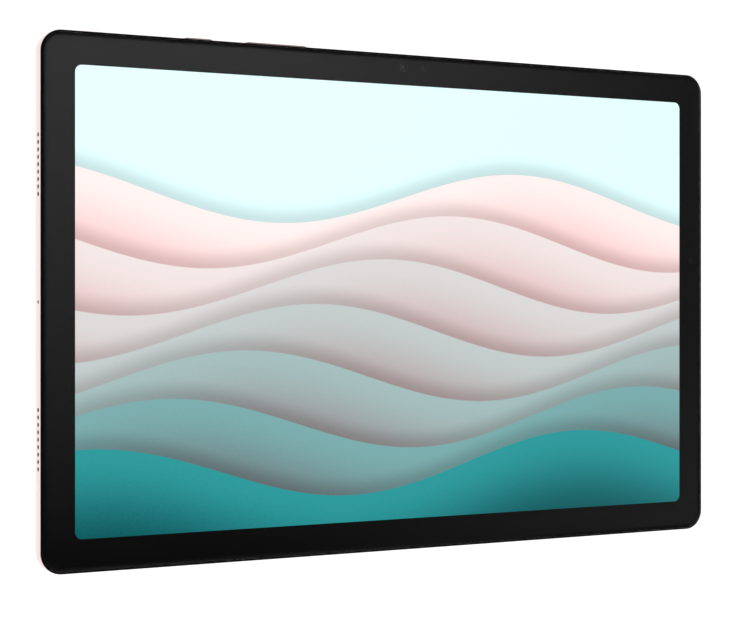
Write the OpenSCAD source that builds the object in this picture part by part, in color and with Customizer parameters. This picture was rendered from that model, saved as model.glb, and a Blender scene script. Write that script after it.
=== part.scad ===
// Tablet computer with a 10.5 inch screen, lying on its back.
// X runs along the long side, Y towards the front camera's edge and Z out of the screen.
// The origin is the centre of the flat back face. All sizes are in millimetres.

/* [Body] */
// Width along the long side
body_w = 246.8; // [244:0.1:250]
// Height along the short side, without the keys
body_h = 161.9; // [160:0.1:165]
// Thickness from the back face to the top of the glass
body_t = 6.9; // [6.9:0.1:7.4]
// Corner radius of the body in plan
corner_r = 6.6; // [6:0.1:7.5]
// Thickness of the metal shell's side walls
wall_t = 1.4; // [1.3:0.1:1.5]
// Thickness of the metal shell's back
back_t = 0.8; // [0.6:0.1:0.8]
// Height of the curve between the back and the flat sides
edge_curve_h = 3.2; // [2.4:0.1:3.6]
// Width of the curve between the back and the flat sides
edge_curve_w = 1.3; // [0.8:0.1:1.6]

/* [Screen] */
// Width of the picture area
picture_w = 226.2; // [224:0.1:227]
// Height of the picture area
picture_h = 141.6; // [140:0.1:142]
// Shift of the picture area towards +X
picture_x = 0.4; // [0.2:0.1:0.6]
// Corner radius of the picture area
picture_r = 2.2; // [1.5:0.1:3]
// Thickness of the cover glass
glass_t = 0.55; // [0.5:0.05:0.55]

/* [Keys and tray] */
// Length of the power key
power_key_l = 9.4; // [8:0.2:10]
// Place of the power key along the top edge
power_key_x = -71.7; // [-73:0.1:-70]
// Length of the volume key
volume_key_l = 21.4; // [18:0.2:22]
// Place of the volume key along the top edge
volume_key_x = -44.8; // [-46:0.1:-43]
// Thickness of both keys
key_t = 2.2; // [1.8:0.1:2.4]
// How far the keys stand out of the edge
key_proud = 0.6; // [0.4:0.05:0.7]
// Place of the card tray along the top edge
tray_x = 70; // [68:0.5:72]

/* [Sound and sockets] */
// Distance of each speaker grille from the middle of its side
speaker_y = 40.8; // [40:0.1:42]
// Number of holes in each speaker grille
grille_holes = 9; // [7:2:9]
// Distance between neighbouring grille holes
grille_pitch = 2.2; // [2:0.1:2.2]
// Diameter of a grille hole
grille_hole_d = 1.35; // [0.9:0.05:1.35]
// Height of the grille holes above the back
side_hole_z = 4.2; // [4:0.1:4.3]
// Radius of the headphone jack's bore
jack_bore_r = 1.8; // [1.78:0.01:1.81]
// Place of the headphone jack along the right side
jack_y = -66.5; // [-67:0.5:-66]

/* [Cameras] */
// Place of the rear camera along X
rear_cam_x = -107.5; // [-108:0.1:-107]
// Place of the rear camera along Y
rear_cam_y = 65; // [64.5:0.1:65.5]
// How far the rear camera's ring stands out of the back
rear_cam_proud = 0.8; // [0.7:0.1:1.2]
// Place of the front camera along X
front_cam_x = 0.2; // [-2:0.1:2]

/* [Hidden] */
$fn = 48;
corner_steps = 16;      // facets in each rounded corner of a plan outline
edge_steps = 10;        // facets in each rounded edge
coarse = [7, 5];        // the same, on small pieces and on pieces inside
gap = 0.1;              // clearance between fitted pieces
cut = 0.01;             // how far a cutting shape runs past a face
hairline = 0.005;       // between a glass and the face it lies on

half_w = body_w / 2;
half_h = body_h / 2;
inner_x = half_w - wall_t;
inner_y = half_h - wall_t;
inner_r = corner_r - wall_t;

// Heights of the stack, from the back to the glass
shell_top = body_t - 0.7;
rim_top = body_t - 0.4;
glass_z = body_t - glass_t;
ledge_z = glass_z - 0.1;
print_t = 0.04;
cell_t = 0.55;
backlight_t = 0.65;
cell_z = glass_z - print_t - cell_t;
backlight_z = cell_z - backlight_t;
plate_t = 0.3;
plate_z = backlight_z - 0.05 - plate_t;
board_z = 2.2;
board_t = 0.8;
board_top = board_z + board_t;
chip_t = 1.0;
flex_t = 0.15;          // thickness of a flexible cable
plug_t = 0.3;           // height of the plug under its end
can_top = plate_z - 0.25;
can_t = 0.2;            // sheet of the shield cans
box_top = plate_z - 0.2;        // top of the speakers, the rear camera and the aerial carriers
border_top = 5.3;       // top of the openings in the frame's border

// Glass, rim and screen module in plan
glass_inset = 0.6;
glass_w = body_w - 2 * glass_inset;
glass_h = body_h - 2 * glass_inset;
glass_r = corner_r - glass_inset;
glass_curve_w = 1.5;
glass_curve_h = 0.38;
module_x = [picture_x - picture_w / 2 - 2.9, picture_x + picture_w / 2 + 1.9];
module_y = [-picture_h / 2 - 5.2, picture_h / 2 + 2.4];
pocket_gap = 0.4;
top_strip_y = (module_y[1] + inner_y) / 2;      // middle of the ledge above the screen
side_strip_x = (module_x[1] + inner_x) / 2;     // middle of the ledge right of the screen
bottom_strip_y = (module_y[0] - inner_y) / 2;   // middle of the ledge below the screen

// Plastic bands that part the shell's end caps from its middle
band_x = half_w - corner_r - 0.2;
band_w = 1.2;

// Cameras and sensors
front_cam_y = top_strip_y + 0.25;
camera_shoulder_z = 5.5;        // the front camera's body presses up against the frame here
front_barrel_r = 2.3;
front_barrel_top = ledge_z - 0.1;
front_lens_z = ledge_z - 0.5;
front_lens_r = [0.55, 1.45];    // of its conical seat, at the bottom and at the top
sensor_z = plate_z + 0.3;
sensor_half = 1.3;
front_window_d = 3.5;
sensor_window_d = 2.4;
top_sensor_x = front_cam_x + 7.6;
side_sensor_y = 14.6;
rear_ring_d = 13.3;
rear_flange_t = 0.3;
rear_rim_r = 0.5;               // rounding of the ring's outer edge
rear_glass_r = 4.85;
rear_glass_top = -rear_cam_proud + 0.65;        // the glass's inner face, which meets a step in the ring
rear_opening_r = 4.1;
lens_d = 6.2;
barrel_z = 0.25;        // front of the lens group focused far away; it moves out by 0.25 to focus close

// Keys: a cap in the wall, a flange behind it and posts that press on domes
key_z = 3.7;
key_flange_t = 0.55;
power_flange_y = inner_y - 0.1;
volume_flange_y = inner_y - 0.4;
key_edge_r = 0.25;
key_post_d = 1.6;
key_post_l = 0.5;
dome_d = 3.0;
dome_t = 0.3;
key_flex_y = inner_y - 2.2;
key_flex_top = 5.3;
volume_post_dx = 7;
volume_rib_r = 0.55;

// Card tray
tray_z = 4.0;
tray_w = 12.8;
tray_l = 17.4;
tray_t = 0.9;
tray_face_w = 17.8;
tray_face_h = 2.2;
tray_face_dx = 1.5;
eject_dx = 8.6;         // the eject hole, from the tray's centre line
lever_pivot_dx = 2.9;
lever_pivot_y = inner_y - tray_l - 2.75;
lever_pin_r = 0.5;
lever_arm = 0.65;       // half the width of the lever's arms
lever_t = 0.6;
reader_sheet = 0.3;

// Sockets
usb_z = 3.7;
usb_w = 8.94;
usb_h = 3.16;
usb_l = 7.4;
usb_sheet = 0.3;
jack_z = 3.0;
jack_l = 13.4;
jack_collar_d = 4.5;
mic_hole_d = 1.1;

// Battery
cell_w = 75;
cell_h = 124;
battery_z = back_t;
battery_t = 3.3;
battery_x = [-63.5, 13];        // left edge of each pouch cell
battery_y = -74;                // lower edge of both

// Screws: frame screws by the shell piece that they go into, then board screws
middle_screws = concat(
    [for (x = [-92, -26, 24, 50, 94]) [x, top_strip_y + 0.2]],
    [for (x = [-100, -60, -20, 20, 60, 96]) [x, bottom_strip_y]]);
left_screws = [for (y = [66, 15, -15]) [-inner_x + 2.8, y]];
right_screws = [for (y = [58.8, 21.7, -21.7, -59.8]) [inner_x - 2.8, y]];
frame_screws_xy = concat(middle_screws, left_screws, right_screws);
board_screws_xy = [[-101, 44], [-70.2, 20], [-101, -30], [-71.5, -66], [-36, 59], [18, 71], [88, 59],
                   [100.5, -40], [100.5, 16]];
screw_r = 0.6;
screw_head_r = 1.15;
frame_screw_z = ledge_z - 0.6;  // seat of the frame screws' heads
boss_r = 1.4;

// ---------- shapes ----------

// Points of a quarter arc
function arc(centre, r, from, n) =
    [for (i = [0:n]) centre + r * [cos(from + 90 * i / n), sin(from + 90 * i / n)]];

// Points of a rectangle with round corners, anticlockwise
function outline(w, h, r, n = corner_steps) = concat(
    arc([w / 2 - r, h / 2 - r], r, 0, n), arc([r - w / 2, h / 2 - r], r, 90, n),
    arc([r - w / 2, r - h / 2], r, 180, n), arc([w / 2 - r, r - h / 2], r, 270, n));

// Edge profiles as [inset, height] points, from the bottom up
function round_below(a, b, z, n = edge_steps) =
    [for (i = [0:n]) let (t = 90 * i / n) [a * (1 - sin(t)), z + b * (1 - cos(t))]];
function round_above(a, b, z, n = edge_steps) =
    [for (i = [0:n]) let (t = 90 * i / n) [a * (1 - cos(t)), z + b * sin(t)]];

// A slab with round corners and square edges
module slab(w, h, r, z0, z1)
    translate([0, 0, z0]) linear_extrude(z1 - z0) polygon(outline(w, h, r));

// A slab whose edge follows a profile all the way round
module lofted(w, h, r, profile, n_corner = corner_steps) {
    rings = [for (p = profile)
        [for (q = outline(w - 2 * p[0], h - 2 * p[0], r - p[0], n_corner)) [q[0], q[1], p[1]]]];
    n = len(rings[0]);
    top = (len(rings) - 1) * n;
    polyhedron([for (ring = rings) each ring], concat(
        [[for (i = [0:n - 1]) i]],
        [[for (i = [n - 1:-1:0]) top + i]],
        [for (j = [0:len(rings) - 2], i = [0:n - 1])
            let (a = j * n + i, b = j * n + (i + 1) % n) [a, a + n, b + n, b]]));
}

// A block between two opposite corners
module block(low, high) translate(low) cube(high - low);

// A cylinder along Z between two heights
module post(xy, r, z0, z1) translate([xy[0], xy[1], z0]) cylinder(r = r, h = z1 - z0);

// Turns a shape drawn flat, so that its Z points along +Y
module facing_y() mirror([0, 1, 0]) rotate([90, 0, 0]) children();

// Turns a shape drawn flat, so that its Z points along +X and its X along +Y
module facing_x() rotate([90, 0, 90]) children();

// ---------- metal shell ----------

module shell_blank() difference() {
    lofted(body_w, body_h, corner_r,
        concat(round_below(edge_curve_w, edge_curve_h, 0), [[0, shell_top - 0.1], [0.1, shell_top]]));
    slab(2 * inner_x, 2 * inner_y, inner_r, back_t, body_t);
}

// Screw bosses that stand on the shell's floor
module bosses(places, top) for (p = places) difference() {
    post(p, boss_r, back_t - 0.3, top);
    post(p, screw_r + 0.02, back_t + 0.4, top + cut);
}

module grille(side, y) for (i = [0:grille_holes - 1])
    translate([side * half_w, y + (i - (grille_holes - 1) / 2) * grille_pitch, side_hole_z])
        rotate([0, 90, 0]) cylinder(d = grille_hole_d, h = 4 * wall_t, center = true);

module mic_hole(side, y) translate([side * half_w, y, side_hole_z])
    rotate([0, 90, 0]) cylinder(d = mic_hole_d, h = 4 * wall_t, center = true);

// An opening with round ends through the top wall
module top_slot(x, w, h, z) translate([x, inner_y - 0.5, z])
    facing_y() slab(w, h, h / 2 - 0.01, 0, wall_t + 1);

module rear_cover() color("#e6c6c1") {
    difference() {
        intersection() {
            shell_blank();
            block([-band_x + band_w / 2, -body_h, -1], [band_x - band_w / 2, body_h, body_t]);
        }
        top_slot(power_key_x, power_key_l + 2 * gap, key_t + 2 * gap, key_z);
        top_slot(volume_key_x, volume_key_l + 3 * gap, key_t + 2 * gap, key_z);
        top_slot(tray_x + tray_face_dx, tray_face_w + gap, tray_face_h + gap, tray_z);
        post([rear_cam_x, rear_cam_y], (rear_ring_d + gap) / 2, -1, back_t + 1);
    }
    bosses(middle_screws, plate_z);
    bosses(board_screws_xy, board_z);
}

module rear_cap(side, screws) {
    difference() {
        intersection() {
            shell_blank();
            translate([side * half_w, 0, 0])
                cube([2 * (half_w - band_x) - band_w, 2 * body_h, 3 * body_t], center = true);
        }
        for (y = [-speaker_y, speaker_y]) grille(side, y);
        children();
    }
    bosses(screws, plate_z);
}

module rear_cap_left() color("#e6c6c1") rear_cap(-1, left_screws) mic_hole(-1, 0);

module rear_cap_right() color("#e6c6c1") rear_cap(1, right_screws) {
    translate([inner_x - 0.5, 0, usb_z])
        facing_x() slab(usb_w + gap, usb_h + gap, usb_h / 2 - 0.01, 0, wall_t + 1);
    translate([inner_x - 1, jack_y, jack_z]) rotate([0, 90, 0])
        cylinder(d = jack_collar_d + gap, h = wall_t + 2);
}

module antenna_band(side) color("#d8bdb8") intersection() {
    shell_blank();
    translate([side * band_x - band_w / 2, -body_h, -1]) cube([band_w, 2 * body_h, body_t + 1]);
}

// ---------- frame and screen ----------

module screen_pocket(z0, z1, margin) block(
    [module_x[0] - margin, module_y[0] - margin, z0], [module_x[1] + margin, module_y[1] + margin, z1]);

// Space that the parts in the frame's border need, below the ledge
module frame_openings() {
    for (turn = [0, 180], y = [-speaker_y, speaker_y]) rotate([0, 0, turn])
        block([inner_x - 3, y - 10.8, 0], [body_w, y + 10.8, border_top]);
    block([power_key_x - 11, key_flex_y - 0.7, 0], [volume_key_x + 14.5, body_h, border_top + 0.3]);
    block([tray_x - 8, module_y[1] + 1, 0], [tray_x + 11, body_h, border_top]);
    block([inner_x - usb_l - 0.8, -4.8, 0], [body_w, 4.8, border_top + 0.1]);
    block([inner_x - jack_l, jack_y - 3.3, 0], [body_w, jack_y + 3.3, border_top + 0.1]);
    block([-body_w, -2.2, 0], [-inner_x + 3.6, 2.2, border_top + 0.1]);
    block([front_cam_x - 3.4, front_cam_y - 2.9, 0],
        [front_cam_x + 3.4, front_cam_y + 2.9, camera_shoulder_z]);
    post([front_cam_x, front_cam_y], front_barrel_r + gap, 0, body_t);
    for (p = [[top_sensor_x, front_cam_y], [side_strip_x, side_sensor_y]])
        block([p[0] - sensor_half - gap, p[1] - sensor_half - gap, sensor_z],
            [p[0] + sensor_half + gap, p[1] + sensor_half + gap, body_t]);
    block([-97, module_y[0] - pocket_gap, 0], [-72, module_y[0] + 0.6, backlight_z]);
}

module mid_frame() color("#161616") difference() {
    union() {
        lofted(body_w - gap, body_h - gap, corner_r - gap / 2,
            concat([[0, shell_top]], round_above(0.12, 0.12, rim_top - 0.12)));
        slab(2 * (inner_x - gap), 2 * (inner_y - gap), inner_r - gap, plate_z, shell_top + cut);
    }
    slab(glass_w + gap, glass_h + gap, glass_r + gap / 2, ledge_z, body_t);
    screen_pocket(plate_z + plate_t, body_t, pocket_gap);
    frame_openings();
    for (p = frame_screws_xy) {
        post(p, screw_r + 0.15, 0, body_t);
        post(p, screw_head_r + 0.1, frame_screw_z, body_t);
    }
}

module glass_adhesive() color("#0c0c0c") difference() {
    slab(glass_w - 2, glass_h - 2, glass_r - 1, ledge_z, glass_z - print_t);
    screen_pocket(0, body_t, pocket_gap + 0.3);
    post([front_cam_x, front_cam_y], front_barrel_r + gap, 0, body_t);
    post([top_sensor_x, front_cam_y], sensor_half + 0.3, 0, body_t);
    post([side_strip_x, side_sensor_y], sensor_half + 0.3, 0, body_t);
}

module cover_glass() color("#10161a", 0.35) lofted(glass_w, glass_h, glass_r, concat(
    [[0.1, glass_z], [0, glass_z + 0.1]],
    round_above(glass_curve_w, glass_curve_h, body_t - glass_curve_h)));

module bezel_print() color("#1b1b1b") difference() {
    slab(glass_w - 0.4, glass_h - 0.4, glass_r - 0.2, glass_z - print_t, glass_z - hairline);
    translate([picture_x, 0, 0]) slab(picture_w, picture_h, picture_r, 0, body_t);
    post([front_cam_x, front_cam_y], front_window_d / 2, 0, body_t);
    post([top_sensor_x, front_cam_y], sensor_window_d / 2, 0, body_t);
    post([side_strip_x, side_sensor_y], sensor_window_d / 2, 0, body_t);
}

module lcd_cell() color("#8fc4c6")
    block([module_x[0] + 0.4, module_y[0] + 0.4, cell_z],
        [module_x[1] - 0.1, module_y[1] - 0.3, glass_z - print_t]);

// Light guide and films in a steel tray with a folded rim
module backlight_unit() color("#d9dde0") union() {
    block([module_x[0] + 0.5, module_y[0] + 0.5, backlight_z + 0.1],
        [module_x[1] - 0.5, module_y[1] - 0.5, backlight_z + backlight_t]);
    block([module_x[0], module_y[0], backlight_z], [module_x[1], module_y[1], backlight_z + 0.1]);
}

// Bonded to the screen's lower edge, it folds down and back to a plug on the main board
module display_flex() color("#b5762c") {
    outside = module_y[0] - 0.25;
    block([-95, outside, cell_z + 0.1], [-74, module_y[0] + 0.4, cell_z + flex_t + 0.1]);
    block([-95, outside, board_top + plug_t], [-74, outside + flex_t, cell_z + 0.1]);
    block([-95, outside, board_top + plug_t], [-74, -66, board_top + plug_t + flex_t]);
    block([-92, -70, board_top], [-77, -66, board_top + plug_t]);
}

module graphite_sheet() color("#3a3a3d")
    block([-99, -60, plate_z - 0.08], [56, 66, plate_z]);

module screw(p, z, head_t, shank) {
    post(p, screw_head_r, z, z + head_t);
    post(p, screw_r, z - shank, z + cut);
}

module cross_slot(p, z) for (a = [45, 135]) translate([p[0], p[1], z])
    rotate([0, 0, a]) cube([1.5, 0.3, 0.4], center = true);

module frame_screws() color("#3c3d40") for (p = frame_screws_xy) difference() {
    screw(p, frame_screw_z, 0.45, 3.6);
    cross_slot(p, frame_screw_z + 0.45);
}

module board_screws() color("#b9bbbe") for (p = board_screws_xy) difference() {
    screw(p, board_top, 0.5, 1.7);
    cross_slot(p, board_top + 0.5);
}

// ---------- battery ----------

// A pouch cell with thin sealed flanges along its sides
module battery_cell(x) color("#2b2d30") union() {
    translate([x + cell_w / 2, battery_y + cell_h / 2, 0])
        lofted(cell_w - 1.6, cell_h - 1.2, 2.2, concat(round_below(0.6, 0.6, battery_z, coarse[1]),
            round_above(0.6, 0.6, battery_z + battery_t - 0.6, coarse[1])), coarse[0]);
    block([x, battery_y + 3, battery_z + 1.3], [x + cell_w, battery_y + cell_h - 3, battery_z + 1.5]);
}

// Protection circuit, welded to a tab of each cell
module battery_board() color("#1d4a33") {
    low = battery_y + cell_h;
    block([-28, low + 0.4, 1.2], [52, low + 3.4, 2.0]);
    for (x = [-22, -6, 12, 24, 40]) block([x, low + 0.9, 2.0 - cut], [x + 7, low + 2.9, 3.0]);
    for (x = [-14, 34]) block([x, low - 0.6, 1.8], [x + 5, low + 0.4 + cut, 2.0]);
}

// Up the side of the protection circuit and over to a plug on the main board
module battery_flex() color("#b5762c") {
    side = battery_y + cell_h + 3.4;
    high = board_top + plug_t;
    block([4, side, 1.4], [14, side + flex_t, high + flex_t]);
    block([4, side, high], [14, 60, high + flex_t]);
    block([3, 56.5, board_top], [15, 60.5, high]);
}

// Stretch-release strips beside each cell hold it to the shell's floor
module battery_adhesive() color("#e8e6df") for (x0 = battery_x, dx = [-0.35, cell_w - 0.45])
    block([x0 + dx, battery_y + 6, back_t], [x0 + dx + 0.8, battery_y + cell_h - 6, battery_z + 1.3]);

// ---------- boards ----------

// Plan of the main board: a strip down the left and a strip along the top, with a tab for the microphone
main_board_plan = [[-105, -72], [-68, -72], [-68, 55], [92, 55], [92, 74.6], [14, 74.6],
    [14, 72.4], [-13, 72.4], [-13, 74.6], [-100.5, 74.6], [-100.5, 58], [-105, 58],
    [-105, 12], [-121.5, 12], [-121.5, -12], [-105, -12]];

module main_board() color("#20503a") difference() {
    translate([0, 0, board_z]) linear_extrude(board_t) polygon(main_board_plan);
    for (p = board_screws_xy) post(p, screw_r + 0.2, 0, body_t);
}

module chip(x, y, w, h, t)
    block([x - w / 2, y - h / 2, board_top], [x + w / 2, y + h / 2, board_top + t]);

module processor_chip() color("#1b1b1e") chip(-86, 22, 12.6, 12.6, chip_t);
module memory_chip() color("#1b1b1e") chip(-86, 4, 13, 11.5, 0.9);
module power_chip() color("#1b1b1e") chip(-86, -22, 6.2, 6.2, 0.7);

// A pressed steel can with open underside
module shield_can(x, y, w, h) translate([x, y, 0]) difference() {
    slab(w, h, 1.0, board_top, can_top);
    slab(w - 2 * can_t, h - 2 * can_t, 1.0 - can_t, board_top - cut, can_top - can_t);
}

module shield_can_processor() color("#c3c6c8") shield_can(-86, 11, 27, 44);
module shield_can_radio() color("#c3c6c8") shield_can(-56, 65.5, 30, 12.5);

// Small sockets and coils in rows on the main board
module board_connectors() color("#8a7a58") {
    for (x = [-30, -22, 30, 40]) chip(x, 66, 5, 2.4, 0.9);
    for (y = [-58, -50, -42, -34]) chip(-80, y, 9, 3, 0.8);
    for (y = [40, 46, 52]) chip(-78, y, 4, 4, 1.1);
    for (x = [44, 50, 56]) chip(x, 58, 3, 3, 1.1);
}

// Runs over the battery from the main board to the charging board
module main_flex_cable() color("#b5762c") translate([0, -24, 0]) {
    low = board_top + plug_t;
    high = battery_z + battery_t + 0.06;
    block([-66.2, -6, high], [94.2, 6, high + flex_t]);
    for (x = [-66.2, 94.2 - flex_t]) block([x, -6, low], [x + flex_t, 6, high + flex_t]);
    block([-76, -6, low], [-66.2 + flex_t, 6, low + flex_t]);
    block([94.2 - flex_t, -6, low], [104, 6, low + flex_t]);
    for (x = [-76, 99]) block([x, -6.5, board_top], [x + 5, 6.5, low]);
}

module charging_board() color("#20503a") difference() {
    union() {
        block([97, -72, board_z], [107.5, 20, board_top]);
        block([107, -20, board_z], [inner_x - 0.4, 20, board_top]);
    }
    block([inner_x - usb_l - 0.5, -4.7, 0], [body_w, 4.7, body_t]);
    for (p = board_screws_xy) post(p, screw_r + 0.2, 0, body_t);
}

// ---------- sockets ----------

module usb_c_port() color("#a9acae") translate([half_w - 0.5 - usb_l, 0, usb_z]) difference() {
    union() {
        facing_x() slab(usb_w, usb_h, usb_h / 2 - 0.01, 0, usb_l);
        for (x = [0.8, 4.6]) block([x, -5.6, board_top - usb_z], [x + 1.2, 5.6, board_top - usb_z + 0.5]);
    }
    facing_x() slab(usb_w - 2 * usb_sheet, usb_h - 2 * usb_sheet, usb_h / 2 - usb_sheet - 0.01,
        0.6, usb_l + 1);
}

module usb_tongue() color("#16171a") translate([half_w - 0.5 - usb_l, 0, usb_z]) {
    block([0.6, -3.35, -0.35], [usb_l - 1.0, 3.35, 0.35]);
    block([0.6, -3.8, -0.6], [2.4, 3.8, 0.6]);
}

module headphone_jack() color("#1a1a1c") difference() {
    union() {
        block([half_w - 0.5 - jack_l, jack_y - 3.1, back_t], [inner_x - gap, jack_y + 3.1, jack_z + 2]);
        translate([inner_x - 1, jack_y, jack_z]) rotate([0, 90, 0])
            cylinder(d = jack_collar_d, h = half_w - 0.5 - inner_x + 1);
    }
    translate([half_w - 0.5 - jack_l - 1, jack_y, jack_z]) rotate([0, 90, 0])
        cylinder(r = jack_bore_r, h = jack_l + 2);
}

module jack_contacts() color("#c8a04a") for (dx = [3, 6, 9], s = [-1, 1])
    block([half_w - 0.5 - jack_l + dx, jack_y + s * 3.25 - 0.15, 1.6],
        [half_w - 0.5 - jack_l + dx + 1, jack_y + s * 3.25 + 0.15, 4.4]);

// ---------- sound ----------

// A closed box with a spout that meets the wall behind the grille. Drawn for the left side.
module speaker_left(y) color("#19191b") difference() {
    union() {
        block([-inner_x + 0.5, y - 15.5, back_t], [-inner_x + 13.5, y + 15.5, box_top]);
        block([-inner_x + 0.15, y - 10.3, 3.1], [-inner_x + 2.8, y + 10.3, 5.1]);
    }
    block([-inner_x, y - 9.4, 3.4], [-inner_x + 1.6, y + 9.4, side_hole_z + 0.65]);
    block([-inner_x, y - 9.4, 2.6], [-inner_x + 6, y + 9.4, 3.7]);
    translate([-inner_x + 8.4, y, 0]) slab(8, 24, 3.9, box_top - 0.3, body_t);
}

module speaker_mesh_left(y) color("#0d0d0e")
    block([-inner_x, y - 10.2, side_hole_z - 0.85], [-inner_x + 0.15, y + 10.2, side_hole_z + 0.85]);

module microphone() color("#b9a36a")
    block([-inner_x + 0.1, -1.9, board_top], [-inner_x + 3.2, 1.9, side_hole_z + 0.6]);

// ---------- cameras and sensors ----------

module front_camera() color("#111214") difference() {
    union() {
        block([front_cam_x - 3.1, front_cam_y - 2.7, board_z],
            [front_cam_x + 3.1, front_cam_y + 2.7, camera_shoulder_z]);
        post([front_cam_x, front_cam_y], front_barrel_r, camera_shoulder_z - cut, front_barrel_top);
    }
    translate([front_cam_x, front_cam_y, front_lens_z])
        cylinder(r1 = front_lens_r[0], r2 = front_lens_r[1], h = 0.41);
}

module front_camera_lens() color("#31424c") translate([front_cam_x, front_cam_y, front_lens_z])
    intersection() {
        cylinder(r1 = front_lens_r[0] - cut, r2 = front_lens_r[1] - cut, h = 0.4);
        translate([0, 0, -2.2]) sphere(r = 2.55, $fn = 64);
    }

module light_sensor(x, y) color("#2a2a2d")
    block([x - sensor_half, y - sensor_half, sensor_z],
        [x + sensor_half, y + sensor_half, front_barrel_top]);

module at_rear_camera() translate([rear_cam_x, rear_cam_y, 0]) children();

module rear_camera_module() color("#141416") at_rear_camera() difference() {
    block([-4.4, -4.4, back_t + rear_flange_t], [4.4, 4.4, box_top]);
    post([0, 0], lens_d / 2 + 0.05, 0, 2.7);
}

// The lens group, which a coil moves to focus. Its front has stepped rings round a small pupil.
module rear_lens_barrel() color("#101113") at_rear_camera() difference() {
    post([0, 0], lens_d / 2, barrel_z, 2.65);
    translate([0, 0, barrel_z - cut]) cylinder(d1 = 5.0, d2 = 3.0, h = 0.5);
    post([0, 0], 1.1, 0, 1.2);
}

// Pushed out from inside as far as its flange. A step inside it holds the glass.
module rear_camera_ring() color("#dcb5ae") at_rear_camera() difference() {
    r = rear_ring_d / 2;
    flange = back_t + rear_flange_t;
    rotate_extrude($fn = 96) polygon(concat(
        [for (i = [0:edge_steps]) let (t = 90 * i / edge_steps)
            [r + rear_rim_r * (sin(t) - 1), -rear_cam_proud + rear_rim_r * (1 - cos(t))]],
        [[r, back_t], [r + 0.6, back_t], [r + 0.6, flange], [3, flange], [3, -rear_cam_proud]]));
    post([0, 0], rear_glass_r + 0.05, -rear_cam_proud - cut, rear_glass_top);
    post([0, 0], rear_opening_r, -1 - rear_cam_proud, flange + 1);
}

module rear_camera_glass() color("#0e1216", 0.4) at_rear_camera()
    post([0, 0], rear_glass_r, -rear_cam_proud + 0.1, rear_glass_top - hairline);

// ---------- keys ----------

// A key cap with a rounded outer face, its retaining flange and its posts
module key(l, flange_y, posts) translate([0, 0, key_z]) {
    facing_y() lofted(l, key_t, key_t / 2 - 0.01, concat([[0, flange_y - 0.2]],
        round_above(key_edge_r, key_edge_r, half_h + key_proud - key_edge_r, coarse[1])), coarse[0]);
    facing_y() slab(l + 1.8, key_t + 0.6, 0.6, flange_y - key_flange_t, flange_y);
    for (x = posts) translate([x, flange_y - key_flange_t - key_post_l, 0])
        rotate([-90, 0, 0]) cylinder(d = key_post_d, h = key_post_l + 0.1);
}

module power_key() color("#e9cbc6") translate([power_key_x, 0, 0]) key(power_key_l, power_flange_y, [0]);

// It rocks about a round rib in its middle
module volume_key() color("#e9cbc6") translate([volume_key_x, 0, 0]) {
    key(volume_key_l, volume_flange_y, [-volume_post_dx, volume_post_dx]);
    translate([0, volume_flange_y - key_flange_t / 2, key_z])
        cylinder(r = volume_rib_r, h = key_t, center = true);
}

// Flex strip behind the keys, with a snap dome for each press
module key_flex() color("#b5762c") {
    block([power_key_x - 8, key_flex_y - flex_t, 2.2], [volume_key_x + 12.5, key_flex_y, key_flex_top]);
    for (x = [power_key_x, volume_key_x - volume_post_dx, volume_key_x + volume_post_dx])
        translate([x, key_flex_y - cut, key_z]) rotate([-90, 0, 0])
            cylinder(d1 = dome_d, d2 = dome_d - 1, h = dome_t + cut);
}

module key_bracket() color("#9fa2a5") {
    block([power_key_x - 9, key_flex_y - 0.45, back_t],
        [volume_key_x + 13.5, key_flex_y - flex_t, key_flex_top]);
    for (x = [power_key_x - 9, volume_key_x + 9.5])
        block([x, key_flex_y - flex_t - cut, back_t], [x + 4, key_flex_y + 1.6, back_t + 0.4]);
}

// ---------- card tray ----------

module card_tray() color("#e9cbc6") translate([tray_x, 0, tray_z]) difference() {
    union() {
        translate([tray_face_dx, 0, 0])
            facing_y() slab(tray_face_w, tray_face_h, tray_face_h / 2 - 0.01, inner_y + 0.05, half_h);
        block([-tray_w / 2, inner_y - tray_l, -tray_t / 2], [tray_w / 2, inner_y + 0.1, tray_t / 2]);
    }
    block([-5.6, inner_y - tray_l + 1.1, -tray_t / 2 + 0.2], [5.6, inner_y - tray_l + 16.3, tray_t]);
    block([-4.4, inner_y - tray_l + 2.6, -tray_t], [4.4, inner_y - tray_l + 14.6, tray_t]);
    translate([eject_dx, inner_y - 1, 0]) rotate([-90, 0, 0]) cylinder(d = 1.1, h = wall_t + 2);
}

// Sheet metal cage round the tray, the eject rod and its lever
module card_reader() color("#b4b7b9") translate([tray_x, 0, 0]) {
    difference() {
        block([-7.6, inner_y - tray_l - 6, board_top], [10.4, inner_y - 0.6, plate_z]);
        block([-6.6, inner_y - tray_l - 5.2, board_top + reader_sheet], [10.0, inner_y, plate_z - 0.15]);
    }
    post([lever_pivot_dx, lever_pivot_y], lever_pin_r, board_top + 0.2, plate_z - 0.1);
}

module eject_rod() color("#8f9294") translate([tray_x + eject_dx, 0, tray_z])
    block([-0.6, inner_y - tray_l + 0.6, -0.35], [0.6, inner_y - 0.8, 0.35]);

// Turns on a pin of the reader: the rod pushes one end in and the other end pushes the tray out
module eject_lever() color("#8f9294") translate([tray_x, 0, tray_z]) difference() {
    union() {
        block([-4.6, lever_pivot_y - lever_arm, -lever_t / 2],
            [eject_dx + 0.6, lever_pivot_y + lever_arm, lever_t / 2]);
        block([eject_dx - 0.6, lever_pivot_y, -lever_t / 2],
            [eject_dx + 0.6, lever_pivot_y + 3.15, lever_t / 2]);
        post([lever_pivot_dx, lever_pivot_y], 2 * lever_arm, -lever_t / 2, lever_t / 2);
    }
    post([lever_pivot_dx, lever_pivot_y], lever_pin_r + 0.05, -1, 1);
}

// ---------- antennas ----------

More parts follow.
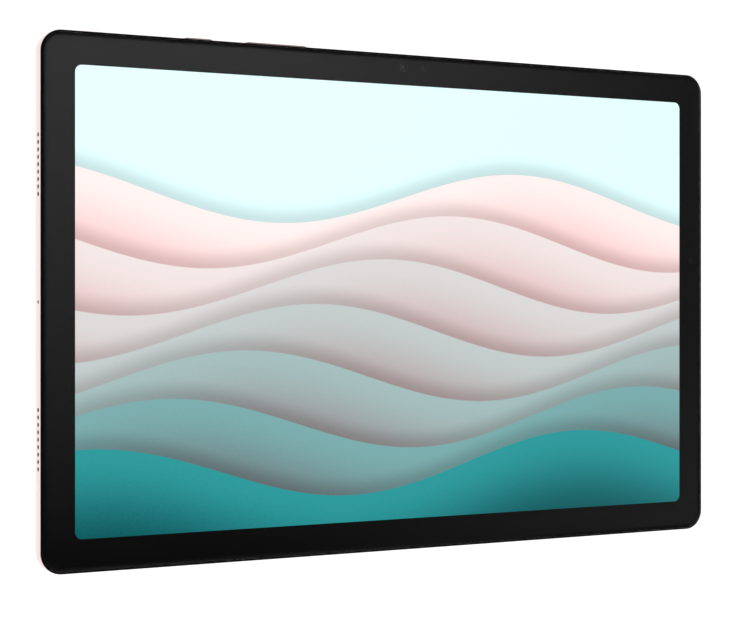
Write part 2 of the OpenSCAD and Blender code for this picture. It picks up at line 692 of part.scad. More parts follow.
// The part of the shell's inside that lies in a rectangle, less a margin all round
module corner_fill(low, high, margin, top) intersection() {
    slab(2 * (inner_x - margin), 2 * (inner_y - margin), inner_r - margin, 0, top);
    block([low[0] + margin, low[1] + margin, 0], [high[0] - margin, high[1] - margin, body_t]);
}

// A moulded cap, open below, that fills a corner of the shell and bears the aerial on its top
module antenna_carrier(low, high) difference() {
    corner_fill(low, high, gap, box_top);
    corner_fill(low, high, 1.2, box_top - 1);
    block([-body_w, -body_h, -1], [body_w, body_h, back_t]);
}

module antenna_carrier_left() color("#2c2723") antenna_carrier([-half_w, -half_h], [-109, -61]);
module antenna_carrier_right() color("#2c2723") antenna_carrier([98, 61], [half_w, half_h]);

// ---------- nodes ----------

rear_cover();
rear_cap_left();
rear_cap_right();
antenna_band(-1);  // antenna_band_left
antenna_band(1);  // antenna_band_right
mid_frame();
glass_adhesive();
cover_glass();
bezel_print();
lcd_cell();
backlight_unit();
display_flex();
graphite_sheet();
frame_screws();
board_screws();
battery_cell(battery_x[0]);  // battery_cell_left
battery_cell(battery_x[1]);  // battery_cell_right
battery_board();
battery_flex();
main_board();
processor_chip();
memory_chip();
power_chip();
shield_can_processor();
shield_can_radio();
board_connectors();
main_flex_cable();
charging_board();
usb_c_port();
usb_tongue();
headphone_jack();
jack_contacts();
speaker_left(speaker_y);  // speaker_left_upper
speaker_left(-speaker_y);  // speaker_left_lower
mirror([1, 0, 0]) speaker_left(speaker_y);  // speaker_right_upper
mirror([1, 0, 0]) speaker_left(-speaker_y);  // speaker_right_lower
speaker_mesh_left(speaker_y);  // mesh_left_upper
speaker_mesh_left(-speaker_y);  // mesh_left_lower
mirror([1, 0, 0]) speaker_mesh_left(speaker_y);  // mesh_right_upper
mirror([1, 0, 0]) speaker_mesh_left(-speaker_y);  // mesh_right_lower
microphone();
battery_adhesive();
front_camera();
front_camera_lens();
light_sensor(top_sensor_x, front_cam_y);  // light_sensor_top
light_sensor(side_strip_x, side_sensor_y);  // light_sensor_side
rear_camera_module();
rear_lens_barrel();
rear_camera_ring();
rear_camera_glass();
power_key();
volume_key();
key_flex();
key_bracket();
card_tray();
card_reader();
eject_rod();
eject_lever();
antenna_carrier_left();
antenna_carrier_right();
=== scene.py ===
"""Looks, light and camera for a tablet computer that lies on its back on a pale table."""

import math

import bpy
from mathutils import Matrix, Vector


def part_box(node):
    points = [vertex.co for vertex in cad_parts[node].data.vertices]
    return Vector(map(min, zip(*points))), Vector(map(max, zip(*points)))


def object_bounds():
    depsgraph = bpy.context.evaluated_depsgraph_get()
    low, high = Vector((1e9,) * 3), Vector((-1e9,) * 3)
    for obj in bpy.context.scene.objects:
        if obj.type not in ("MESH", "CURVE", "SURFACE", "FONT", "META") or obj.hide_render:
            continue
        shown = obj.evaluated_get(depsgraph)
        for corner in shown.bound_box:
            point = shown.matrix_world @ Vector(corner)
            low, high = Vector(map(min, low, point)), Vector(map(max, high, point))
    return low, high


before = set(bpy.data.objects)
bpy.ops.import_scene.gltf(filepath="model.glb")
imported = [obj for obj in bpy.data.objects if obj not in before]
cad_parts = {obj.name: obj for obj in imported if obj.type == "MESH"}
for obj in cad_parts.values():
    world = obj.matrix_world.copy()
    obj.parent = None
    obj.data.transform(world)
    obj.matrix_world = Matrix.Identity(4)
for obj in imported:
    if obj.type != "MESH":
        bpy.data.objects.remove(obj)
CAD_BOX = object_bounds()

MM = 0.001
WHITE = (1.0, 1.0, 1.0, 1.0)
BLACK = (0.0, 0.0, 0.0, 1.0)

# The camera looks down on the screen from beyond its left end, with +Y up in the picture.
LENS = 92.9                 # millimetres
DISTANCE = 0.6108           # metres from the glass
YAW = math.radians(28.9)    # away from straight above the screen
AIM_X = -0.0138             # metres from the middle of the glass
SHIFT_Y = -0.0212


# ---------- node helpers ----------

def feed(tree, socket, value):
    """Joins a socket to another node's output, or sets its own value."""
    if isinstance(value, bpy.types.NodeSocket):
        tree.links.new(value, socket)
    else:
        socket.default_value = value


def add(tree, kind, inputs=None, **settings):
    """Adds a node with these settings and inputs."""
    made = tree.nodes.new(kind)
    for name, value in settings.items():
        setattr(made, name, value)
    for name, value in (inputs or {}).items():
        feed(tree, made.inputs[name], value)
    return made


def maths(tree, operation, *values):
    return add(tree, "ShaderNodeMath", dict(enumerate(values)), operation=operation).outputs[0]


def beyond(tree, value, limit):
    """How far a value lies above limit or below -limit, and 0 between them."""
    past = maths(tree, "SUBTRACT", maths(tree, "ABSOLUTE", value), limit)
    return maths(tree, "MAXIMUM", past, 0.0)


def remap(tree, value, low, high, to_low=0.0, to_high=1.0, curve="SMOOTHSTEP"):
    """Takes low..high to to_low..to_high and holds the ends."""
    made = add(tree, "ShaderNodeMapRange", {0: value, 1: low, 2: high, 3: to_low, 4: to_high},
               interpolation_type=curve)
    return made.outputs[0]


def mix(tree, factor, first, second):
    """A colour that goes from first to second as factor goes from 0 to 1."""
    return add(tree, "ShaderNodeMix", {0: factor, 6: first, 7: second}, data_type="RGBA").outputs[2]


def ramp(tree, value, *stops):
    """A colour ramp through (position, colour) stops."""
    made = add(tree, "ShaderNodeValToRGB", {0: value})
    elements = made.color_ramp.elements
    while len(elements) < len(stops):
        elements.new(1.0)
    for element, (position, colour) in zip(elements, stops):
        element.position = position
        element.color = (*colour[:3], 1.0)
    return made.outputs[0]


def surface_point(tree, stretch=(1, 1, 1)):
    """The place on the part in millimetres, stretched along each axis."""
    where = add(tree, "ShaderNodeTexCoord").outputs["Object"]
    return add(tree, "ShaderNodeVectorMath", {0: where, 1: [s / MM for s in stretch]},
               operation="MULTIPLY").outputs[0]


def way_from(tree, name):
    """The way, in metres, to the surface from a point below or above the middle of a CAD node."""
    low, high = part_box(name)
    middle = (low + high) / 2
    where = add(tree, "ShaderNodeTexCoord").outputs["Object"]
    return add(tree, "ShaderNodeVectorMath", {0: where, 1: (middle.x, middle.y, 0)},
               operation="SUBTRACT").outputs[0]


def noise(tree, point, size, detail=2.0, roughness=0.5, distortion=0.0):
    """Soft random values between 0 and 1 that change over about size millimetres."""
    made = add(tree, "ShaderNodeTexNoise", {"Vector": point, "Scale": 1 / size, "Detail": detail,
                                            "Roughness": roughness, "Distortion": distortion})
    return made.outputs[0]


def cells(tree, point, size, distance="EUCLIDEAN"):
    """Irregular cells of about size millimetres."""
    return add(tree, "ShaderNodeTexVoronoi", {"Vector": point, "Scale": 1 / size}, distance=distance)


def set_colour(tree, shader, colour):
    feed(tree, shader.inputs["Base Color"], colour)


def set_roughness(tree, shader, roughness):
    feed(tree, shader.inputs["Roughness"], roughness)


def relief(tree, shader, height, depth):
    """Bumps the surface by height times depth millimetres."""
    made = add(tree, "ShaderNodeBump", {"Height": height, "Distance": depth * MM, "Strength": 1.0})
    tree.links.new(made.outputs[0], shader.inputs["Normal"])


def new_material(name, **values):
    """A material with one Principled shader. Values are given by the shader's own socket names."""
    material = bpy.data.materials.new("look_" + name)
    material.use_nodes = True
    tree = material.node_tree
    tree.nodes.clear()
    shader = add(tree, "ShaderNodeBsdfPrincipled")
    for socket, value in values.items():
        shader.inputs[socket.replace("_", " ")].default_value = value
    output = add(tree, "ShaderNodeOutputMaterial")
    tree.links.new(shader.outputs[0], output.inputs["Surface"])
    return material, tree, shader


def between(tone, change):
    """A colour a little darker or lighter than tone."""
    return tuple(min(1.0, c * (1 + change)) for c in tone[:3]) + (1.0,)


# ---------- families of materials ----------

def blasted_metal(name, tone, roughness, grain=0.09, depth=0.0016):
    """Anodised aluminium with a fine bead-blasted skin."""
    material, tree, shader = new_material(name, Metallic=1.0)
    point = surface_point(tree)
    skin = noise(tree, point, grain, 2.0)
    cloud = noise(tree, point, 9.0, 3.0)
    speck = mix(tree, skin, between(tone, -0.03), between(tone, 0.03))
    tint = mix(tree, cloud, between(tone, -0.012), between(tone, 0.012))
    set_colour(tree, shader, mix(tree, 0.5, speck, tint))
    set_roughness(tree, shader, remap(tree, skin, 0.3, 0.7, roughness - 0.04, roughness + 0.04))
    relief(tree, shader, skin, depth)
    return material


def brushed_metal(name, tone, roughness, stretch=(1, 14, 1), line=0.25, depth=0.003):
    """Rolled or drawn metal with fine streaks along one axis."""
    material, tree, shader = new_material(name, Metallic=1.0)
    streak = noise(tree, surface_point(tree, [1 / s for s in stretch]), line, 3.0)
    stain = noise(tree, surface_point(tree), 4.0, 3.0)
    base = mix(tree, streak, between(tone, -0.08), between(tone, 0.06))
    set_colour(tree, shader, mix(tree, stain, base, between(tone, -0.05)))
    set_roughness(tree, shader, remap(tree, streak, 0.3, 0.7, roughness - 0.07, roughness + 0.08))
    relief(tree, shader, streak, depth)
    return material


def moulded_plastic(name, tone, roughness, grain=0.3, depth=0.006, **values):
    """Injection-moulded plastic with a spark-eroded texture."""
    material, tree, shader = new_material(name, **values)
    point = surface_point(tree)
    skin = noise(tree, point, grain, 3.0, 0.6)
    cloud = noise(tree, point, 6.0, 2.0)
    speck = mix(tree, skin, between(tone, -0.10), between(tone, 0.10))
    set_colour(tree, shader, mix(tree, cloud, speck, tone))
    set_roughness(tree, shader, remap(tree, skin, 0.25, 0.75, roughness - 0.06, roughness + 0.08))
    relief(tree, shader, skin, depth)
    return material


def clear_glass(name, ior, smear=0.02):
    """Polished glass with the faintest smears."""
    material, tree, shader = new_material(name, Transmission_Weight=1.0, IOR=ior, Base_Color=WHITE)
    film = noise(tree, surface_point(tree), 14.0, 4.0, 0.6, 0.6)
    set_roughness(tree, shader, remap(tree, film, 0.45, 0.8, 0.0, smear))
    return material


# ---------- outside ----------

ROSE = (0.84, 0.685, 0.655, 1.0)
# Painted shade: black painted on the inner walls of the small side holes.
HOLE_SHADE = (0.012, 0.009, 0.009, 1.0)

# The small holes in the side walls, in millimetres: only these get painted black shade on their inner
# walls.
HOLE_LEVEL = 4.2            # height of their middles
HOLE_REACH = 0.75           # above and below that height
SHADE_START = 0.01         # depth behind the outer wall
SHADE_FULL = 0.06
CORNER_LIMIT = 60.0         # no hole lies further out along Y
PORT_LIMIT = 20.0           # the right wall has its charging port nearer the middle than this

TURNED_LINE = 0.05          # width of the streaks on the camera ring, in millimetres


def painted_hole_shade(tree):
    """1 inside the small holes in the side walls, where black shade is painted, and 0 elsewhere."""
    x, y, z = add(tree, "ShaderNodeSeparateXYZ", {0: surface_point(tree)}).outputs
    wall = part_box("rear_cap_right")[1].x / MM
    off_x = maths(tree, "ABSOLUTE", x)
    off_y = maths(tree, "ABSOLUTE", y)
    deep = remap(tree, off_x, wall - SHADE_FULL, wall - SHADE_START, 1.0, 0.0)
    level = maths(tree, "COMPARE", z, HOLE_LEVEL, HOLE_REACH)
    clear_of_corners = maths(tree, "LESS_THAN", off_y, CORNER_LIMIT)
    on_left = maths(tree, "LESS_THAN", x, 0.0)
    clear_of_port = maths(tree, "MAXIMUM", on_left, maths(tree, "GREATER_THAN", off_y, PORT_LIMIT))
    return maths(tree, "MULTIPLY", maths(tree, "MULTIPLY", deep, level),
                 maths(tree, "MULTIPLY", clear_of_corners, clear_of_port))


def shell_metal():
    """Rose metal, with black shade painted inside the grille and microphone holes."""
    material = blasted_metal("shell_metal", ROSE, 0.30)
    tree = material.node_tree
    base = tree.nodes["Principled BSDF"].inputs["Base Color"]
    feed(tree, base, mix(tree, painted_hole_shade(tree), base.links[0].from_socket, HOLE_SHADE))
    return material


def key_metal():
    return blasted_metal("key_metal", between(ROSE, -0.02), 0.26, 0.08)


def ring_metal():
    """Rose metal turned on a lathe, so its streaks run round the camera."""
    material, tree, shader = new_material("ring_metal", Metallic=1.0)
    out = way_from(tree, "rear_camera_ring")
    radius = add(tree, "ShaderNodeVectorMath", {0: out}, operation="LENGTH").outputs["Value"]
    turned = add(tree, "ShaderNodeTexNoise", {"W": radius, "Scale": 1 / (TURNED_LINE * MM), "Detail": 2.0},
                 noise_dimensions="1D").outputs[0]
    tone = between(ROSE, -0.05)
    set_colour(tree, shader, mix(tree, turned, between(tone, -0.06), between(tone, 0.05)))
    set_roughness(tree, shader, remap(tree, turned, 0.3, 0.7, 0.14, 0.24))
    relief(tree, shader, turned, 0.002)
    return material


def band_plastic():
    return moulded_plastic("band_plastic", (0.74, 0.52, 0.49, 1.0), 0.42, 0.12, 0.002)


def frame_plastic():
    return moulded_plastic("frame_plastic", (0.006, 0.0055, 0.005, 1.0), 0.5, 0.2, 0.004,
                           Specular_IOR_Level=0.2)


def cover_glass():
    return clear_glass("cover_glass", 1.36)


def lens_cover_glass():
    return clear_glass("lens_cover_glass", 1.5, 0.01)


def bezel_print():
    """Black ink screen-printed on the back of the glass."""
    material, tree, shader = new_material("bezel_print", Specular_IOR_Level=0.05)
    point = surface_point(tree)
    pores = noise(tree, point, 0.12, 2.0)
    ink = mix(tree, pores, (0.0012, 0.0012, 0.0014, 1), (0.0022, 0.0022, 0.0024, 1))
    set_colour(tree, shader, ink)
    set_roughness(tree, shader, remap(tree, pores, 0.3, 0.7, 0.55, 0.7))
    return material


# ---------- the picture on the screen ----------

GROUND = (0.75, 1.0, 1.0, 1.0)
GLOW = 1.12                 # strength of the lit screen

# A plain pattern of even waves, each one step lower than the last, in millimetres from the middle.
WAVES = 7
WAVE_TOP = 34.0          # mean height of the highest wave
WAVE_STEP = 14.5
WAVE_RISE = 9.0          # half of a wave's height
WAVE_LENGTH = 178.0
WAVE_TURN = 0.9          # how far each wave lags the one above, in radians
WAVE_EDGE = 0.25         # width of the soft edge of a wave
WAVE_SHADOW = 7.0        # reach of a wave's shadow on what is above it
WAVE_SHADE = 0.28        # the shadow's strength at the edge
WAVE_FADE = 30.0         # depth over which a wave goes from its crest's colour to its foot's
WAVE_GRAIN = 0.22        # how much of a wave's colour is grain
GRAIN_SIZE = 0.9
HIGH_CREST, HIGH_FOOT = (1.0, 0.84, 0.82), (0.86, 0.52, 0.52)
LOW_CREST, LOW_FOOT = (0.02, 0.30, 0.31), (0.0, 0.09, 0.10)


def blended(share, first, second):
    """The colour this share of the way from the first to the second."""
    return tuple(low + share * (high - low) for low, high in zip(first, second))


def wave(tree, below, across, up, grain, number):
    """Lays one wave over what is below it, with a soft shadow above its crest."""
    share = number / (WAVES - 1)
    angle = maths(tree, "MULTIPLY_ADD", across, math.tau / WAVE_LENGTH, number * WAVE_TURN)
    middle = WAVE_TOP - number * WAVE_STEP
    crest = maths(tree, "MULTIPLY_ADD", maths(tree, "SINE", angle), WAVE_RISE, middle)
    depth = maths(tree, "SUBTRACT", crest, up)
    shadow = remap(tree, depth, -WAVE_SHADOW, 0.0, 0.0, WAVE_SHADE)
    faded = maths(tree, "MULTIPLY_ADD", grain, WAVE_GRAIN, remap(tree, depth, 0.0, WAVE_FADE))
    colour = ramp(tree, faded, (0.0, blended(share, HIGH_CREST, LOW_CREST)),
                  (1.0, blended(share, HIGH_FOOT, LOW_FOOT)))
    return mix(tree, remap(tree, depth, 0.0, WAVE_EDGE), mix(tree, shadow, below, BLACK), colour)


def display():
    """A lit screen that shows a generic pattern of waves."""
    material, tree, shader = new_material("display", Base_Color=BLACK, Roughness=0.4,
                                          Specular_IOR_Level=0.05, Emission_Strength=GLOW)
    screen = surface_point(tree)
    across, up, _ = add(tree, "ShaderNodeSeparateXYZ", {0: screen}).outputs
    grain = maths(tree, "SUBTRACT", noise(tree, screen, GRAIN_SIZE, 2.0, 0.6), 0.5)
    colour = GROUND
    for number in range(WAVES):
        colour = wave(tree, colour, across, up, grain, number)
    feed(tree, shader.inputs["Emission Color"], colour)
    return material


# ---------- inside ----------

def backlight():
    """White film over a light guide printed with a raster of dots."""
    material, tree, shader = new_material("backlight", Roughness=0.35)
    dots = cells(tree, surface_point(tree), 0.8).outputs["Distance"]
    white = ramp(tree, dots, (0.2, (0.92, 0.93, 0.95)), (0.35, (0.8, 0.82, 0.85)))
    set_colour(tree, shader, white)
    relief(tree, shader, dots, 0.01)
    return material


def foam_adhesive():
    """Black foam tape with open pores."""
    material, tree, shader = new_material("foam_adhesive", Roughness=0.9)
    pores = cells(tree, surface_point(tree), 0.18).outputs["Distance"]
    black = ramp(tree, pores, (0.1, (0.004, 0.004, 0.004)), (0.7, (0.02, 0.02, 0.021)))
    set_colour(tree, shader, black)
    relief(tree, shader, pores, 0.04)
    return material


def pull_adhesive():
    """Pale stretch-release tape, rippled along its length."""
    material, tree, shader = new_material("pull_adhesive", Roughness=0.45)
    ripple = noise(tree, surface_point(tree, (1, 0.15, 1)), 0.9, 3.0)
    set_colour(tree, shader, mix(tree, ripple, (0.62, 0.62, 0.6, 1), (0.82, 0.82, 0.8, 1)))
    relief(tree, shader, ripple, 0.03)
    return material


def flex_film():
    """Amber polyimide film over fine copper tracks."""
    material, tree, shader = new_material("flex_film", Roughness=0.28)
    point = surface_point(tree)
    pattern = {"Vector": point, "Scale": 0.55, "Distortion": 0.6, "Detail": 1.0}
    tracks = add(tree, "ShaderNodeTexWave", pattern, bands_direction="X").outputs["Fac"]
    film = noise(tree, point, 3.0, 3.0)
    copper = ramp(tree, tracks, (0.35, (0.33, 0.13, 0.025)), (0.6, (0.16, 0.055, 0.012)))
    amber = maths(tree, "MULTIPLY", film, 0.4)
    set_colour(tree, shader, mix(tree, amber, copper, (0.42, 0.2, 0.05, 1)))
    relief(tree, shader, tracks, 0.01)
    return material


def graphite():
    """Pressed graphite sheet with a flaky sheen."""
    material, tree, shader = new_material("graphite", Metallic=0.55)
    flakes = cells(tree, surface_point(tree), 0.5).outputs["Color"]
    value = add(tree, "ShaderNodeSeparateColor", {0: flakes}).outputs[0]
    set_colour(tree, shader, mix(tree, value, (0.03, 0.03, 0.033, 1), (0.075, 0.075, 0.08, 1)))
    set_roughness(tree, shader, remap(tree, value, 0.0, 1.0, 0.32, 0.5))
    return material


def battery_foil():
    """The dark laminated pouch of a cell, lightly creased."""
    material, tree, shader = new_material("battery_foil", Metallic=0.35)
    point = surface_point(tree)
    crease = noise(tree, point, 7.0, 5.0, 0.62, 0.8)
    fine = noise(tree, point, 0.4, 2.0)
    set_colour(tree, shader, mix(tree, crease, (0.018, 0.019, 0.022, 1), (0.05, 0.051, 0.056, 1)))
    set_roughness(tree, shader, remap(tree, fine, 0.3, 0.7, 0.3, 0.42))
    relief(tree, shader, crease, 0.12)
    return material


def circuit_board():
    """Green solder mask over runs of parallel tracks, with tinned pads."""
    track_pitch = 0.3
    track_width = 0.13
    pad_radius = 0.12
    material, tree, shader = new_material("circuit_board", Roughness=0.32)
    point = surface_point(tree)
    block = cells(tree, point, 5.0, distance="CHEBYCHEV").outputs["Color"]
    pick = add(tree, "ShaderNodeSeparateColor", {0: block}).outputs[0]
    x, y, _ = add(tree, "ShaderNodeSeparateXYZ", {0: point}).outputs
    way = maths(tree, "GREATER_THAN", pick, 0.5)
    run = add(tree, "ShaderNodeMix", {0: way, 2: x, 3: y}).outputs[0]
    track = maths(tree, "PINGPONG", run, track_pitch)
    copper = maths(tree, "LESS_THAN", track, track_width)
    green = mix(tree, copper, (0.004, 0.035, 0.018, 1), (0.012, 0.085, 0.04, 1))
    pads = maths(tree, "LESS_THAN", cells(tree, point, 2.6).outputs["Distance"], pad_radius)
    set_colour(tree, shader, mix(tree, pads, green, (0.62, 0.6, 0.55, 1)))
    feed(tree, shader.inputs["Metallic"], pads)
    relief(tree, shader, maths(tree, "ADD", copper, pads), 0.015)
    return material


def speaker_mesh():
    """Black woven dust mesh behind the grille holes."""
    material, tree, shader = new_material("speaker_mesh", Roughness=0.6)
    thread = 0.09
    _, y, z = add(tree, "ShaderNodeSeparateXYZ", {0: surface_point(tree)}).outputs
    over = maths(tree, "PINGPONG", y, thread)
    under = maths(tree, "PINGPONG", z, thread)
    weave = maths(tree, "MULTIPLY", maths(tree, "MINIMUM", over, under), 11.0)
    set_colour(tree, shader, mix(tree, weave, (0.012, 0.012, 0.013, 1), (0.07, 0.07, 0.072, 1)))
    relief(tree, shader, weave, 0.03)
    return material


# The painted highlight on the front lens, a pale reflection: the side that it lies on, and its reach in
# millimetres.
HIGHLIGHT_SIDE = (-0.85, -0.53, 0.0)
HIGHLIGHT_START = 0.15
HIGHLIGHT_FULL = 0.9


def lens_glass():
    """A coated lens: a dark pupil and a painted pale highlight, standing in for a reflection, towards one
    side of its rim.
    """
    material, tree, shader = new_material("lens_glass", Roughness=0.05, IOR=1.7, Coat_Weight=1.0,
                                          Coat_Roughness=0.02)
    out = way_from(tree, "front_camera_lens")
    side = add(tree, "ShaderNodeVectorMath", {0: out, 1: HIGHLIGHT_SIDE}, operation="DOT_PRODUCT")
    # Painted highlight: a pale reflection painted on one side of the lens rim.
    painted_highlight = remap(tree, side.outputs["Value"], HIGHLIGHT_START * MM, HIGHLIGHT_FULL * MM)
    shine = noise(tree, surface_point(tree), 0.6, 1.0)
    tint = mix(tree, shine, (0.13, 0.15, 0.16, 1), (0.10, 0.13, 0.17, 1))
    set_colour(tree, shader, mix(tree, painted_highlight, (0.003, 0.003, 0.006, 1), tint))
    return material


def sensor_resin():
    """Smoked resin over a light sensor."""
    material, tree, shader = new_material("sensor_resin", Roughness=0.4, Specular_IOR_Level=0.2)
    tint = noise(tree, surface_point(tree), 0.5, 2.0)
    set_colour(tree, shader, mix(tree, tint, (0.008, 0.008, 0.009, 1), (0.018, 0.017, 0.019, 1)))
    return material


def chip_resin():
    return moulded_plastic("chip_resin", (0.014, 0.014, 0.015, 1.0), 0.42, 0.12, 0.004)


def camera_black():
    return moulded_plastic("camera_black", (0.006, 0.006, 0.007, 1.0), 0.5, 0.15, 0.004,
                           Specular_IOR_Level=0.3)


def speaker_plastic():
    return moulded_plastic("speaker_plastic", (0.012, 0.012, 0.013, 1.0), 0.48)


def socket_plastic():
    return moulded_plastic("socket_plastic", (0.01, 0.01, 0.011, 1.0), 0.4, 0.15, 0.003)


def antenna_plastic():
    return moulded_plastic("antenna_plastic", (0.035, 0.035, 0.038, 1.0), 0.45)


def screw_black():
    return brushed_metal("screw_black", (0.05, 0.05, 0.052, 1.0), 0.35, (1, 1, 1), 0.15)


def screw_steel():
    return brushed_metal("screw_steel", (0.66, 0.65, 0.62, 1.0), 0.28, (1, 1, 1), 0.15)


def shield_tin():
    return brushed_metal("shield_tin", (0.70, 0.70, 0.68, 1.0), 0.34, (16, 1, 1))


def connector_metal():
    return brushed_metal("connector_metal", (0.58, 0.57, 0.54, 1.0), 0.3, (8, 1, 1), 0.15)


def port_steel():
    return brushed_metal("port_steel", (0.62, 0.62, 0.61, 1.0), 0.24, (10, 1, 1), 0.12)


def contact_gold():
    return brushed_metal("contact_gold", (0.92, 0.66, 0.28, 1.0), 0.22, (8, 1, 1), 0.1)


LOOKS = (shell_metal, band_plastic, frame_plastic, foam_adhesive, cover_glass, bezel_print, display,
         backlight, flex_film, graphite, screw_black, screw_steel, battery_foil, circuit_board,
         chip_resin, shield_tin, connector_metal, port_steel, socket_plastic, contact_gold,
         speaker_plastic, speaker_mesh, pull_adhesive, camera_black, lens_glass, sensor_resin,
         ring_metal, lens_cover_glass, key_metal, antenna_plastic)


def dress_nodes():
    """Gives every CAD node the look that is named after its material slot."""
    made = {look.__name__: look() for look in LOOKS}
    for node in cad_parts.values():
        for slot in node.material_slots:
            slot.material = made[slot.material.name]


# ---------- smooth shading ----------

WELD = 1e-6                 # metres
SHARP_ANGLE = math.radians(24)


def smoothing_group():
    """A modifier that welds a mesh's facets, smooths its curves and keeps its corners sharp."""
    group = bpy.data.node_groups.new("smooth_curves", "GeometryNodeTree")
    for side in ("INPUT", "OUTPUT"):
        group.interface.new_socket("Geometry", in_out=side, socket_type="NodeSocketGeometry")
    start = add(group, "NodeGroupInput").outputs[0]
    plain = add(group, "GeometryNodeRemoveAttribute", {"Geometry": start, "Name": "custom_normal"})
    welded = add(group, "GeometryNodeMergeByDistance", {"Geometry": plain.outputs[0], "Distance": WELD})
    smooth = add(group, "GeometryNodeSetShadeSmooth", {"Geometry": welded.outputs[0], "Shade Smooth": True})
    angle = add(group, "GeometryNodeInputMeshEdgeAngle").outputs["Unsigned Angle"]
    corner = add(group, "FunctionNodeCompare", {0: angle, 1: SHARP_ANGLE}, operation="GREATER_THAN")
    sharp = add(group, "GeometryNodeSetShadeSmooth",
                {"Geometry": smooth.outputs[0], "Selection": corner.outputs[0], "Shade Smooth": False},
                domain="EDGE")
    end = add(group, "NodeGroupOutput")
    group.links.new(sharp.outputs[0], end.inputs[0])
    return group


def smooth_nodes():
    group = smoothing_group()
    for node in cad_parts.values():
        node.modifiers.new("curves", "NODES").node_group = group
        weighted = node.modifiers.new("flats", "WEIGHTED_NORMAL")
        weighted.keep_sharp = True


# ---------- stage ----------

FLOOR_HALF = 6.0            # metres
FLOOR_GAP = 0.02            # under the lowest point, in millimetres
FLOOR_WHITE = (0.6, 0.6, 0.6, 1.0)
FLOOR_GLOW = 0.92
SHADOW_CORNER = 7.5          # radius of the corners of the painted contact shadow, a dark footprint, in millimetres
GLOW_START = 1.5            # how far inside the tablet's outline the glow starts, in millimetres
GLOW_FULL = 0.9

LAMP_ENERGY = 0.5
LAMP_SPREAD = math.radians(28)

# The panel lies in a level plane one unit above the tablet: u runs along X and v along Y.
PANEL_U = 0.51              # its middle
PANEL_HALF_U = 0.36
PANEL_HALF_V = 0.17
PANEL_EDGE_U = 0.04         # width of its soft edges
PANEL_EDGE_V = 0.18
NEAR_V, NEAR_LEVELS = (-0.15, 0.15), (0.03, 0.70)
FAR_V, FAR_LEVELS = (-0.13, -0.02), (0.22, 0.125)
FADE_U = (0.42, 0.86)       # where the near levels give way to the far ones
LOWEST_RISE = 0.05
HORIZON_TOP = 0.5           # where the white of the horizon has faded out
HORIZON_LEVELS = (1.0, 0.03)


def make_camera():
    data = bpy.data.cameras.new("view")
    data.lens = LENS
    data.shift_y = SHIFT_Y
    camera = bpy.data.objects.new("view", data)
    bpy.context.scene.collection.objects.link(camera)
    back = Vector((-math.sin(YAW), 0, math.cos(YAW)))
    camera.location = Vector((AIM_X, 0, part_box("cover_glass")[1].z)) + back * DISTANCE
    camera.rotation_euler = (0, -YAW, 0)
    bpy.context.scene.camera = camera


def make_floor():
    """A plain white table top just under the lowest point. It glows, except under the tablet, where the
    dark footprint is a painted contact shadow.
    """
    mesh = bpy.data.meshes.new("floor")
    corners = [(side_x * FLOOR_HALF, side_y * FLOOR_HALF, 0)
               for side_x, side_y in ((-1, -1), (1, -1), (1, 1), (-1, 1))]
    mesh.from_pydata(corners, [], [(0, 1, 2, 3)])
    floor = bpy.data.objects.new("floor", mesh)
    floor.location.z = CAD_BOX[0].z - FLOOR_GAP * MM
    bpy.context.scene.collection.objects.link(floor)
    mesh.materials.append(floor_white())


def floor_white():
    """White paint whose glow stops along a rounded footprint, just inside the tablet's outline: a painted
    contact shadow under the tablet.
    """
    material, tree, shader = new_material("floor", Base_Color=FLOOR_WHITE, Roughness=0.9,
                                          Specular_IOR_Level=0.0, Emission_Color=WHITE)
    where = add(tree, "ShaderNodeTexCoord").outputs["Object"]
    x, y, _ = add(tree, "ShaderNodeSeparateXYZ", {0: where}).outputs
    half_x, half_y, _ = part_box("mid_frame")[1]
    radius = SHADOW_CORNER * MM
    past_x = beyond(tree, x, half_x - radius)
    past_y = beyond(tree, y, half_y - radius)
    squares = maths(tree, "ADD", maths(tree, "MULTIPLY", past_x, past_x),
                    maths(tree, "MULTIPLY", past_y, past_y))
    # Painted shadow: no glow inside the footprint, so the floor under the tablet is dark.
    glow = remap(tree, maths(tree, "SQRT", squares), radius - GLOW_START * MM, radius - GLOW_FULL * MM,
                 0.0, FLOOR_GLOW)
    feed(tree, shader.inputs["Emission Strength"], glow)
    return material


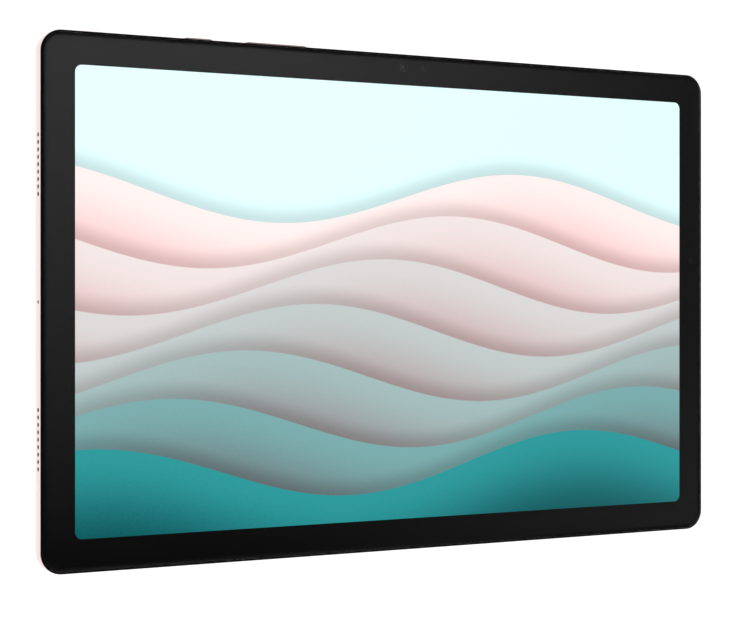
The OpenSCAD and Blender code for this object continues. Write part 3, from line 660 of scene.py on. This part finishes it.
def make_lamp():
    """A wide soft lamp overhead for the table top. Polished faces don't mirror it."""
    data = bpy.data.lights.new("overhead", "SUN")
    data.energy = LAMP_ENERGY
    data.angle = LAMP_SPREAD
    lamp = bpy.data.objects.new("overhead", data)
    lamp.visible_glossy = False
    lamp.visible_transmission = False
    bpy.context.scene.collection.objects.link(lamp)


def make_world():
    """A dark studio with a white horizon and one panel, which the glass mirrors as a fading grey."""
    world = bpy.data.worlds.new("studio")
    world.use_nodes = True
    tree = world.node_tree
    tree.nodes.clear()
    way = add(tree, "ShaderNodeTexCoord").outputs["Generated"]
    x, y, z = add(tree, "ShaderNodeSeparateXYZ", {0: way}).outputs
    rise = maths(tree, "MAXIMUM", z, LOWEST_RISE)
    u = maths(tree, "DIVIDE", x, rise)
    v = maths(tree, "DIVIDE", y, rise)
    near = remap(tree, v, *NEAR_V, *NEAR_LEVELS, "LINEAR")
    far = remap(tree, v, *FAR_V, *FAR_LEVELS, "LINEAR")
    fade = remap(tree, u, *FADE_U)
    panel = maths(tree, "ADD", maths(tree, "MULTIPLY", near, maths(tree, "SUBTRACT", 1.0, fade)),
                  maths(tree, "MULTIPLY", fade, far))
    out_u = beyond(tree, maths(tree, "SUBTRACT", u, PANEL_U), PANEL_HALF_U)
    out_v = beyond(tree, v, PANEL_HALF_V)
    inside = maths(tree, "MULTIPLY", remap(tree, out_u, 0.0, PANEL_EDGE_U, 1.0, 0.0),
                   remap(tree, out_v, 0.0, PANEL_EDGE_V, 1.0, 0.0))
    horizon = remap(tree, z, 0.0, HORIZON_TOP, *HORIZON_LEVELS)
    level = maths(tree, "MULTIPLY_ADD", panel, inside, horizon)
    background = add(tree, "ShaderNodeBackground", {"Color": WHITE, "Strength": level})
    output = add(tree, "ShaderNodeOutputWorld")
    tree.links.new(background.outputs[0], output.inputs["Surface"])
    bpy.context.scene.world = world


def set_colours():
    scene = bpy.context.scene
    scene.view_settings.view_transform = "Standard"
    scene.view_settings.look = "None"


make_camera()
dress_nodes()
smooth_nodes()
make_floor()
make_lamp()
make_world()
set_colours()
